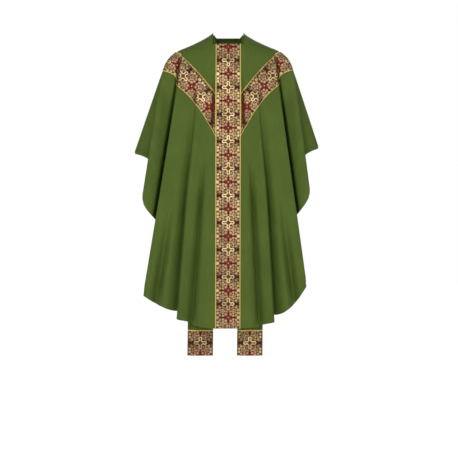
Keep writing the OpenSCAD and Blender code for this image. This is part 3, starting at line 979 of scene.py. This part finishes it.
@dataclass
class Orphreys:
    """The brocade bands: the column front and back, the Y arms and the bands over the shoulders."""

    garment: Garment
    figure: Figure = field(default_factory=Figure)
    step: float = 1.25 * MM
    lift: float = 2.1 * MM
    under: float = 0.5 * MM
    relief: float = 0.35 * MM
    braid_width: float = 4.5 * MM
    first_cross: float = 0.482
    arm_top: float = 0.275
    arm_bottom: float = 0.462
    arm_cross: tuple = (0.121, -0.284)
    arm_slope: float = math.radians(50)
    ring_near: float = 0.018
    ring_near_rise: float = 0.018
    ring_far: float = 0.100
    ring_far_rise: float = 0.066
    # Painted shade on the foil near the neck, and plain darkening towards the hem.
    neck_shade: float = 0.28
    hem_dimming: float = 0.22
    # Plain darkening of the foil over the whole arm, and painted shade in the fold hollows of the arms.
    arm_dimming: float = 0.10
    fold_hollow_shade: float = 0.70
    # Where painted shade on fold walls begins, by how squarely the band faces front, and over what range it
    # deepens.
    flat_facing: float = 0.96
    facing_range: float = 0.30

    def dress(
        self,
        name: str,
        points: np.ndarray,
        along: np.ndarray,
        across: np.ndarray,
        outward: int,
        fold_wall_shade: float = 0.6,
        foil_dimming: np.ndarray | float = 0.0,
    ) -> bpy.types.Object:
        """Makes a band of brocade with its figure and relief.

        Args:
            name: the piece's name.
            points: the grid that it lies on.
            along: distance along the band at each point.
            across: distance from its middle at each point.
            outward: sign that turns the grid's normals out.
            fold_wall_shade: share of the foil threads taken back to the ground colour on the walls of
                folds, as painted shade.
            foil_dimming: share of them taken away at each point; the callers use it for painted shade near
                the neck and in fold hollows, and for plain darkening towards the hem and over the arms.

        Returns:
            The new piece.
        """
        paint = self.figure.paint(along, across)
        band = Layer(
            name=name,
            points=points,
            outward=outward,
            over=self.lift + self.relief * paint[..., :3].max(axis=-1),
            under=self.under,
            backed=False,
            paint=paint,
            uv=np.stack([across, along], axis=-1),
            materials=(self.garment.finishes.brocade,),
        )
        # Painted shade: the foil threads fade to the ground colour on fold walls that turn away from the
        # front, and by the dimming that the caller passes.
        turned = smooth((self.flat_facing - np.abs(band.normals()[..., 1])) / self.facing_range)
        paint[..., :3] *= ((1 - fold_wall_shade * turned) * (1 - foil_dimming))[..., None]
        return band.build()

    def braid_strip(self, name: str, points: np.ndarray, outward: int) -> bpy.types.Object:
        """Makes a strip of braid with a rounded, plaited top on a grid of seven columns."""
        share = np.linspace(-1, 1, points.shape[1])[None, :]
        run = np.cumsum(
            np.linalg.norm(np.diff(points[:, 3], axis=0, prepend=points[:1, 3]), axis=-1)
        )[:, None]
        plait = np.sin(2 * np.pi * (run + 0.002 * np.abs(share)) / (4 * MM))
        top = self.lift + MM * (0.35 + 0.75 * np.sqrt(np.maximum(1 - share**2, 0)) + 0.14 * plait)
        return Layer(
            name=name,
            points=points,
            outward=outward,
            over=top,
            under=self.under,
            backed=False,
            materials=(self.garment.finishes.braid,),
        ).build()

    def column(self, face: Face) -> bpy.types.Object:
        """Builds the column of one face with its two braids.

        Returns:
            The column.
        """
        drape = self.garment.drape
        top, bottom = -drape.neck_drop(face) + 0.6 * MM, -drape.length - 0.6 * MM
        z = np.linspace(top, bottom, int((top - bottom) / self.step))[:, None]
        x = np.linspace(-drape.column_half, drape.column_half, int(2 * drape.column_half / self.step))
        x, z = np.broadcast_arrays(x[None, :], z)
        # The foil darkens near the neck as painted shade, and towards the hem.
        near_neck, near_hem = 1 - smooth((top - z) / 0.16), smooth((-z - 0.75) / 0.4)
        foil_dimming = self.neck_shade * near_neck + self.hem_dimming * near_hem
        band = self.dress(
            f"{label(face)}_column_brocade",
            drape.both_sides(face, x, z),
            -z - self.first_cross,
            x,
            -face.value,
            foil_dimming=foil_dimming,
        )
        self.garment.keep(band, "brocade", f"{label(face)}_column", f"{label(face)}_stiffener")
        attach(band, "garment")
        for side in Side:
            inner = drape.column_half - self.braid_width + 1.5 * MM
            xs = side.value * np.linspace(inner, drape.column_half + 1.5 * MM, 7)[:: side.value]
            rows = np.linspace(top + 0.5 * MM, bottom - 0.5 * MM, int((top - bottom) / (1.3 * MM)))
            bx, bz = np.broadcast_arrays(xs[None, :], rows[:, None])
            braid = self.braid_strip(
                f"{label(face)}_column_braid_{label(side)}", drape.both_sides(face, bx, bz), -face.value
            )
            self.garment.keep(braid, "gold_braid", f"{label(face)}_braid_{label(side)}")
            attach(braid, "garment")
        return band

    def arm_xz(self, share: np.ndarray, rise: np.ndarray) -> tuple[np.ndarray, np.ndarray]:
        """Places a point of a Y arm: share 0 at the column, rise 0 at its upper edge.

        Returns:
            The distance from the centre and the height.
        """
        drape = self.garment.drape
        begin = drape.column_half - 1 * MM
        high, low = drape.shoulder_fall + 0.038, drape.shoulder_fall + 0.166
        z_top = mix(-self.arm_top, -high, share) + 0.009 * np.sin(np.pi * share)
        z_low = mix(-self.arm_bottom, -low, share) + 0.026 * np.sin(np.pi * share)
        x_top = mix(begin, drape.lane_x(1.0, -high) - 1 * MM, share)
        x_low = mix(begin, drape.lane_x(1.0, -low) - 1 * MM, share)
        return mix(x_top, x_low, rise), mix(z_top, z_low, rise)

    def arm(self, face: Face, side: Side) -> bpy.types.Object:
        """Builds one Y arm with its two braids.

        Returns:
            The arm.
        """
        drape, outward = self.garment.drape, -side.value * face.value
        share = np.linspace(0, 1, int(0.25 / self.step))[None, :]
        rise = np.linspace(0, 1, int(0.13 / self.step))[:, None]
        x, z = self.arm_xz(share, rise)
        points = drape.body(face, side, x, z)
        dx, dz = x - self.arm_cross[0], z - self.arm_cross[1]
        run = np.array([math.cos(self.arm_slope), math.sin(self.arm_slope)])
        along = dx * run[0] + dz * run[1]
        across = dz * run[0] - dx * run[1]
        name = f"{label(face)}_arm_{label(side)}"
        # The foil darkens a little over the whole arm, and more in the fold hollows as painted shade.
        hollow = smooth((drape.folds(face, side, drape.lane_of(x, z), z) - 2.5 * MM) / (4 * MM))
        foil_dimming = self.arm_dimming + self.fold_hollow_shade * hollow
        band = self.dress(f"{name}_brocade", points, along, across, outward, foil_dimming=foil_dimming)
        self.garment.keep(band, "brocade", name)
        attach(band, "garment")
        for edge, low, high in (("upper", -0.010, 0.018), ("lower", 0.982, 1.010)):
            run = np.linspace(0, 1, 190)[:, None]
            over = np.linspace(low, high, 7)[None, :]
            bx, bz = self.arm_xz(run, over)
            strip = drape.body(face, side, bx, bz)
            braid = self.braid_strip(f"{name}_{edge}_braid_strip", strip, -outward)
            self.garment.keep(braid, "gold_braid", f"{name}_{edge}_braid")
            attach(braid, "garment")
        return band

    def ring_edges(self, u: np.ndarray) -> tuple[np.ndarray, np.ndarray]:
        """Distances of the shoulder band's two edges from the shoulder end at each rib."""
        near = self.ring_near + self.ring_near_rise * np.exp(-((u / 1.1) ** 2))
        far = self.ring_far + self.ring_far_rise * np.exp(-((u / 1.0) ** 2))
        return near, far

    def ring(self, side: Side, around: np.ndarray, rise: np.ndarray) -> np.ndarray:
        """Points round the shoulder end: around -4 at the front side edge, 4 at the back one."""
        drape = self.garment.drape
        u = 4 - np.abs(around)
        near, far = self.ring_edges(u)
        t = mix(near, far, rise) / drape.rib_length(u)
        front = drape.wing(Face.FRONT, side, u, t)
        back = drape.wing(Face.BACK, side, u, t)
        return np.where((around < 0)[..., None], front, back)

    def shoulder(self, side: Side) -> bpy.types.Object:
        """Builds the band over one shoulder, front to back, with its two braids.

        Returns:
            The band.
        """
        around, rise = np.broadcast_arrays(
            np.linspace(-3.98, 3.98, 330)[None, :], np.linspace(0, 1, 72)[:, None]
        )
        points = self.ring(side, around, rise)
        steps = np.linalg.norm(np.diff(points[36], axis=0, prepend=points[36][:1]), axis=-1)
        along = np.broadcast_to(np.cumsum(steps)[None, :], rise.shape) + 0.004
        across = (rise - 0.5) * 2 * self.garment.drape.column_half
        # The band's foil takes a quarter-strength painted shade on its fold walls.
        band = self.dress(f"shoulder_band_{label(side)}_brocade", points, along, across, side.value, 0.25)
        self.garment.keep(band, "brocade", f"shoulder_band_{label(side)}")
        self.garment.over_arm(band, side)
        for edge, low, high in (("inner", -0.014, 0.034), ("outer", 0.966, 1.014)):
            turn, over = np.broadcast_arrays(
                np.linspace(-3.98, 3.98, 300)[:, None], np.linspace(low, high, 7)[None, :]
            )
            braid = self.braid_strip(
                f"shoulder_{edge}_braid_{label(side)}", self.ring(side, turn, over), -side.value
            )
            self.garment.keep(braid, "gold_braid", f"shoulder_{label(side)}_{edge}_braid")
            self.garment.over_arm(braid, side)
        return band

    def build(self) -> None:
        """Builds the columns, the arms and the shoulder bands."""
        for face in Face:
            self.column(face)
            for side in Side:
                self.arm(face, side)
        for side in Side:
            self.shoulder(side)


@dataclass
class Neckline:
    """The facing inside the square neck opening and the tapes under the shoulder seams."""

    garment: Garment
    facing_width: float = 32 * MM
    stay_width: float = 16 * MM
    stay_below: float = 3 * MM

    def facing(self, face: Face) -> bpy.types.Object:
        """Builds the facing of one face, behind the cloth below the neckline."""
        drape = self.garment.drape
        drop = drape.neck_drop(face)
        half = drape.neck_half - 3 * MM
        x, z = np.broadcast_arrays(
            np.linspace(-half, half, 40)[None, :],
            np.linspace(-drop, -drop - self.facing_width, 16)[:, None],
        )
        piece = Layer(
            name=f"neck_facing_{label(face)}_strip",
            points=drape.both_sides(face, x, z),
            outward=-face.value,
            over=-1.2 * MM,
            under=-2.2 * MM,
            materials=(self.garment.finishes.cloth, self.garment.finishes.cloth),
        ).build()
        self.garment.keep(piece, "green_cloth", f"neck_facing_{label(face)}")
        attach(piece, "garment")
        return piece

    def stay(self, side: Side) -> bpy.types.Object:
        """Builds the linen tape sewn under one shoulder seam."""
        drape = self.garment.drape
        x, off = np.broadcast_arrays(
            np.linspace(drape.neck_half + 4 * MM, drape.shoulder_out - 8 * MM, 60)[None, :],
            np.linspace(-self.stay_width / 2, self.stay_width / 2, 13)[:, None],
        )
        seam = drape.seam_z(x)
        drop = 0.1 * np.abs(off) ** 2 / self.stay_width + self.stay_below
        points = drape.place(side, x, off, seam - drop)
        piece = Layer(
            name=f"shoulder_stay_tape_{label(side)}",
            points=points,
            outward=side.value,
            over=0.4 * MM,
            under=-0.4 * MM,
            materials=(self.garment.finishes.tape, self.garment.finishes.tape),
        ).build()
        self.garment.keep(piece, "stiffener", f"shoulder_stay_{label(side)}")
        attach(piece, "garment")
        return piece

    def build(self) -> None:
        """Builds the facings."""
        for face in Face:
            self.facing(face)

    def stays(self) -> None:
        """Builds the tapes, which the cloth then rests on."""
        for side in Side:
            self.stay(side)


@dataclass
class Stole:
    """The stole under the chasuble: a collar part, two hanging halves and their brocade ends."""

    garment: Garment
    width: float = 0.112
    inner: float = 0.053
    length: float = 1.424
    end_height: float = 0.112
    depth: float = 0.100
    below_seam: float = 0.012
    split: float = 0.118
    shift: float = 0.015
    # Shares of foil kept on the brocade ends, less on the left: painted shade on the hanging ends.
    shaded_foil_left: float = 0.60
    shaded_foil_right: float = 0.80
    figure: Figure = field(default_factory=lambda: Figure(half_width=56 * MM))

    def lean(self, x: np.ndarray, y: np.ndarray, z: np.ndarray) -> np.ndarray:
        """Carries the ends a little to the left on their way down."""
        return np.stack(np.broadcast_arrays(x + self.shift * z / self.length, y, z), axis=-1)

    def depth_at(self, drop: np.ndarray) -> np.ndarray:
        """Distance of the stole from the plane of the shoulder seams."""
        d = np.maximum(drop, 0)
        return self.depth * np.sqrt(d / (d + self.garment.drape.shoulder_round))

    def front(self, side: Side, share: np.ndarray, z: np.ndarray) -> np.ndarray:
        """Points of a hanging half, with a slight hollow along it."""
        x = mix(self.inner, self.inner + self.width, share)
        drop = self.garment.drape.seam_z(x + 0.008) - self.below_seam - z
        hollow = 1.6 * MM * np.sin(np.pi * share) * np.sin(9 * z) * smooth((-z - 0.2) / 0.3)
        return self.lean(side.value * x, -self.depth_at(drop) + hollow, z)

    def half(self, side: Side) -> bpy.types.Object:
        """Builds one hanging half with its lining, brocade end and braid.

        Returns:
            The green half.
        """
        finishes = self.garment.finishes
        share = np.linspace(0, 1, 30)[None, :]
        z = np.linspace(-self.split, -self.length, 170)[:, None]
        points = self.front(side, share, z)
        body = f"stole_{label(side)}_half"
        strip = Layer(
            name=f"stole_strip_{label(side)}",
            points=points,
            outward=side.value,
            over=0.7 * MM,
            under=-0.5 * MM,
            materials=(finishes.cloth, finishes.cloth),
        ).build()
        self.garment.keep(strip, "green_cloth", f"stole_{label(side)}")
        lining = Layer(
            name=f"stole_back_lining_{label(side)}",
            points=self.front(side, np.linspace(0.015, 0.985, 30)[None, :], z[:-1]),
            outward=side.value,
            over=-0.6 * MM,
            under=-1.4 * MM,
            materials=(finishes.lining, finishes.lining),
        ).build()
        self.garment.keep(lining, "lining", f"stole_lining_{label(side)}")
        end_share = np.linspace(-0.002, 1.002, 78)[None, :]
        end_z = np.linspace(-self.length + self.end_height, -self.length - 0.5 * MM, 80)[:, None]
        end_share, end_z = np.broadcast_arrays(end_share, end_z)
        across = (end_share - 0.5) * self.width
        along = -end_z - (self.length - self.end_height / 2)
        paint = self.figure.paint(along, across)
        # Painted shade on the brocade end, deeper on the left one.
        paint[..., :3] *= self.shaded_foil_left if side is Side.LEFT else self.shaded_foil_right
        end = Layer(
            name=f"stole_brocade_end_{label(side)}",
            points=self.front(side, end_share, end_z),
            outward=side.value,
            over=1.9 * MM + 0.35 * MM * paint[..., :3].max(axis=-1),
            under=0.4 * MM,
            backed=False,
            paint=paint,
            uv=np.stack([across, along], axis=-1),
            materials=(finishes.brocade,),
        ).build()
        self.garment.keep(end, "brocade", f"stole_end_{label(side)}")
        top = -self.length + self.end_height
        run = np.linspace(-0.004, 1.004, 90)[:, None]
        over = np.linspace(top + 2 * MM, top - 4 * MM, 7)[None, :]
        braid = Orphreys(self.garment, lift=1.9 * MM).braid_strip(
            f"stole_end_braid_{label(side)}", self.front(side, run, over), -side.value
        )
        self.garment.keep(braid, "gold_braid", f"stole_braid_{label(side)}")
        for piece in (strip, lining):
            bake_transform(piece)
        for piece in (end, braid):
            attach(piece, body)
        return strip

    def collar_points(self, inset: float) -> np.ndarray:
        """Grid of the collar part: down both fronts and round the back of the neck.

        Args:
            inset: share of the width left free along each edge.

        Returns:
            The grid, with rows along the band.
        """
        drape = self.garment.drape
        share = np.linspace(inset, 1 - inset, 26)[None, :]
        step = np.linspace(0, 1, 16)[1:, None]
        x = mix(self.inner, self.inner + self.width, share) + 0.008 * (1 - step)
        top = drape.seam_z(x) - self.below_seam
        z = mix(top, -self.split, step**2)
        fronts = [self.lean(side.value * x, -self.depth_at(top - z), z) for side in (Side.RIGHT, Side.LEFT)]
        angle = np.linspace(0, np.pi, 70)[:, None]
        x = mix(self.inner + 0.008, self.inner + self.width + 0.008, share) * np.cos(angle)
        drop = np.maximum(np.sin(angle), 0) ** 1.6 * mix(0.034, 0.034 + self.width, share)
        z = drape.seam_z(np.abs(x)) - self.below_seam - drop
        back = self.lean(x, self.depth_at(drop), z)
        return np.concatenate([fronts[0][::-1], back, fronts[1]])

    def build(self) -> None:
        """Builds the collar part, its lining and the two halves."""
        finishes = self.garment.finishes
        collar = Layer(
            name="stole_collar",
            points=self.collar_points(0.0),
            outward=-1,
            over=0.7 * MM,
            under=-0.5 * MM,
            materials=(finishes.cloth, finishes.cloth),
        ).build()
        self.garment.keep(collar, "green_cloth", "stole_neck")
        lining = Layer(
            name="stole_collar_lining",
            points=self.collar_points(0.015),
            outward=-1,
            over=-0.6 * MM,
            under=-1.4 * MM,
            materials=(finishes.lining, finishes.lining),
        ).build()
        self.garment.keep(lining, "lining", "stole_neck_lining")
        for piece in (collar, lining):
            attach(piece, "garment")
        for side in Side:
            self.half(side)


# ---------------------------------------------------------------- studio


@dataclass
class Studio:
    """The pale floor, the soft lights and the long-lens camera in front of the garment."""

    floor_z: float = -1.70
    floor_reach: float = 80.0
    distance: float = 30.0
    film: float = 36.0
    nearest: float = 0.1
    view_width: float = 2.0152
    eye_x: float = 0.003
    eye_z: float = -0.8668

    def floor(self) -> None:
        """Lays a wide floor of matte white paper."""
        side = np.linspace(-self.floor_reach, self.floor_reach, 9)
        x, y = np.meshgrid(side, side)
        points = np.stack([x, y, np.full_like(x, self.floor_z)], axis=-1)
        material, tree = start("white_paper_floor")
        where = add(tree, "ShaderNodeTexCoord").outputs["Object"]
        cloud = noise(tree, where, 3.0, 3.0)
        look = {
            "Base Color": tint(tree, cloud, linear("#F4F4F3"), linear("#FAFAF9")),
            "Roughness": 0.9,
            "Emission Color": (1, 1, 1, 1),
            "Emission Strength": 0.83,
        }
        coat(tree, look)
        Layer("studio_floor", points, -1, materials=(material, material)).build()

    def light(self, name: str, where: tuple, size: float, power: float) -> None:
        """Adds one large soft light aimed at the middle of the garment."""
        lamp = bpy.data.lights.new(name, "AREA")
        lamp.shape, lamp.size, lamp.energy = "DISK", size, power
        item = bpy.data.objects.new(name, lamp)
        item.location = where
        aim = np.array([0, 0, -0.7]) - np.array(where)
        item.rotation_euler = (
            math.acos(-aim[2] / np.linalg.norm(aim)),
            0,
            math.atan2(aim[1], aim[0]) - math.pi / 2,
        )
        bpy.context.scene.collection.objects.link(item)

    def camera(self) -> None:
        """Puts the camera level in front of the garment."""
        lens = bpy.data.cameras.new("camera")
        lens.sensor_width = self.film
        lens.lens = self.film * (self.distance - self.nearest) / self.view_width
        lens.clip_end = 100
        item = bpy.data.objects.new("camera", lens)
        item.location = (self.eye_x, -self.distance, self.eye_z)
        item.rotation_euler = (math.pi / 2, 0, 0)
        bpy.context.scene.collection.objects.link(item)
        bpy.context.scene.camera = item

    def world(self) -> None:
        """Fills the room with even pale light."""
        world = bpy.data.worlds.new("studio")
        world.use_nodes = True
        tree = world.node_tree
        tree.nodes.clear()
        seen = add(tree, "ShaderNodeLightPath").outputs["Is Camera Ray"]
        strength = spread(tree, seen, (0.0, 1.0), (0.22, 1.0))
        sky = add(tree, "ShaderNodeBackground", {"Color": (1, 1, 1, 1), "Strength": strength})
        add(tree, "ShaderNodeOutputWorld", {"Surface": sky.outputs[0]})
        bpy.context.scene.world = world

    def build(self) -> None:
        """Builds the studio."""
        self.camera()
        self.world()
        self.floor()
        self.light("key_left", (-1.6, -4.6, 1.2), 1.6, 126)
        self.light("fill_right", (2.2, -4.4, 0.2), 2.2, 62)
        self.light("top", (0.0, -0.6, 3.2), 2.6, 60)
        self.light("back", (0.5, 4.0, 1.2), 2.6, 90)
        scene = bpy.context.scene
        scene.view_settings.view_transform = "Standard"
        scene.view_settings.look = "None"


def main() -> None:
    """Builds the studio and the garment."""
    logging.basicConfig(level=logging.INFO, format="%(name)s: %(message)s")
    Studio().build()
    garment = Garment(Drape(), Finishes())
    neckline = Neckline(garment)
    neckline.stays()
    GreenCloth(garment).build()
    Orphreys(garment).build()
    neckline.build()
    Stole(garment).build()
    bpy.context.view_layer.update()
    LOG.info("%d pieces", len(garment.pieces))


if __name__ == "__main__":
    main()
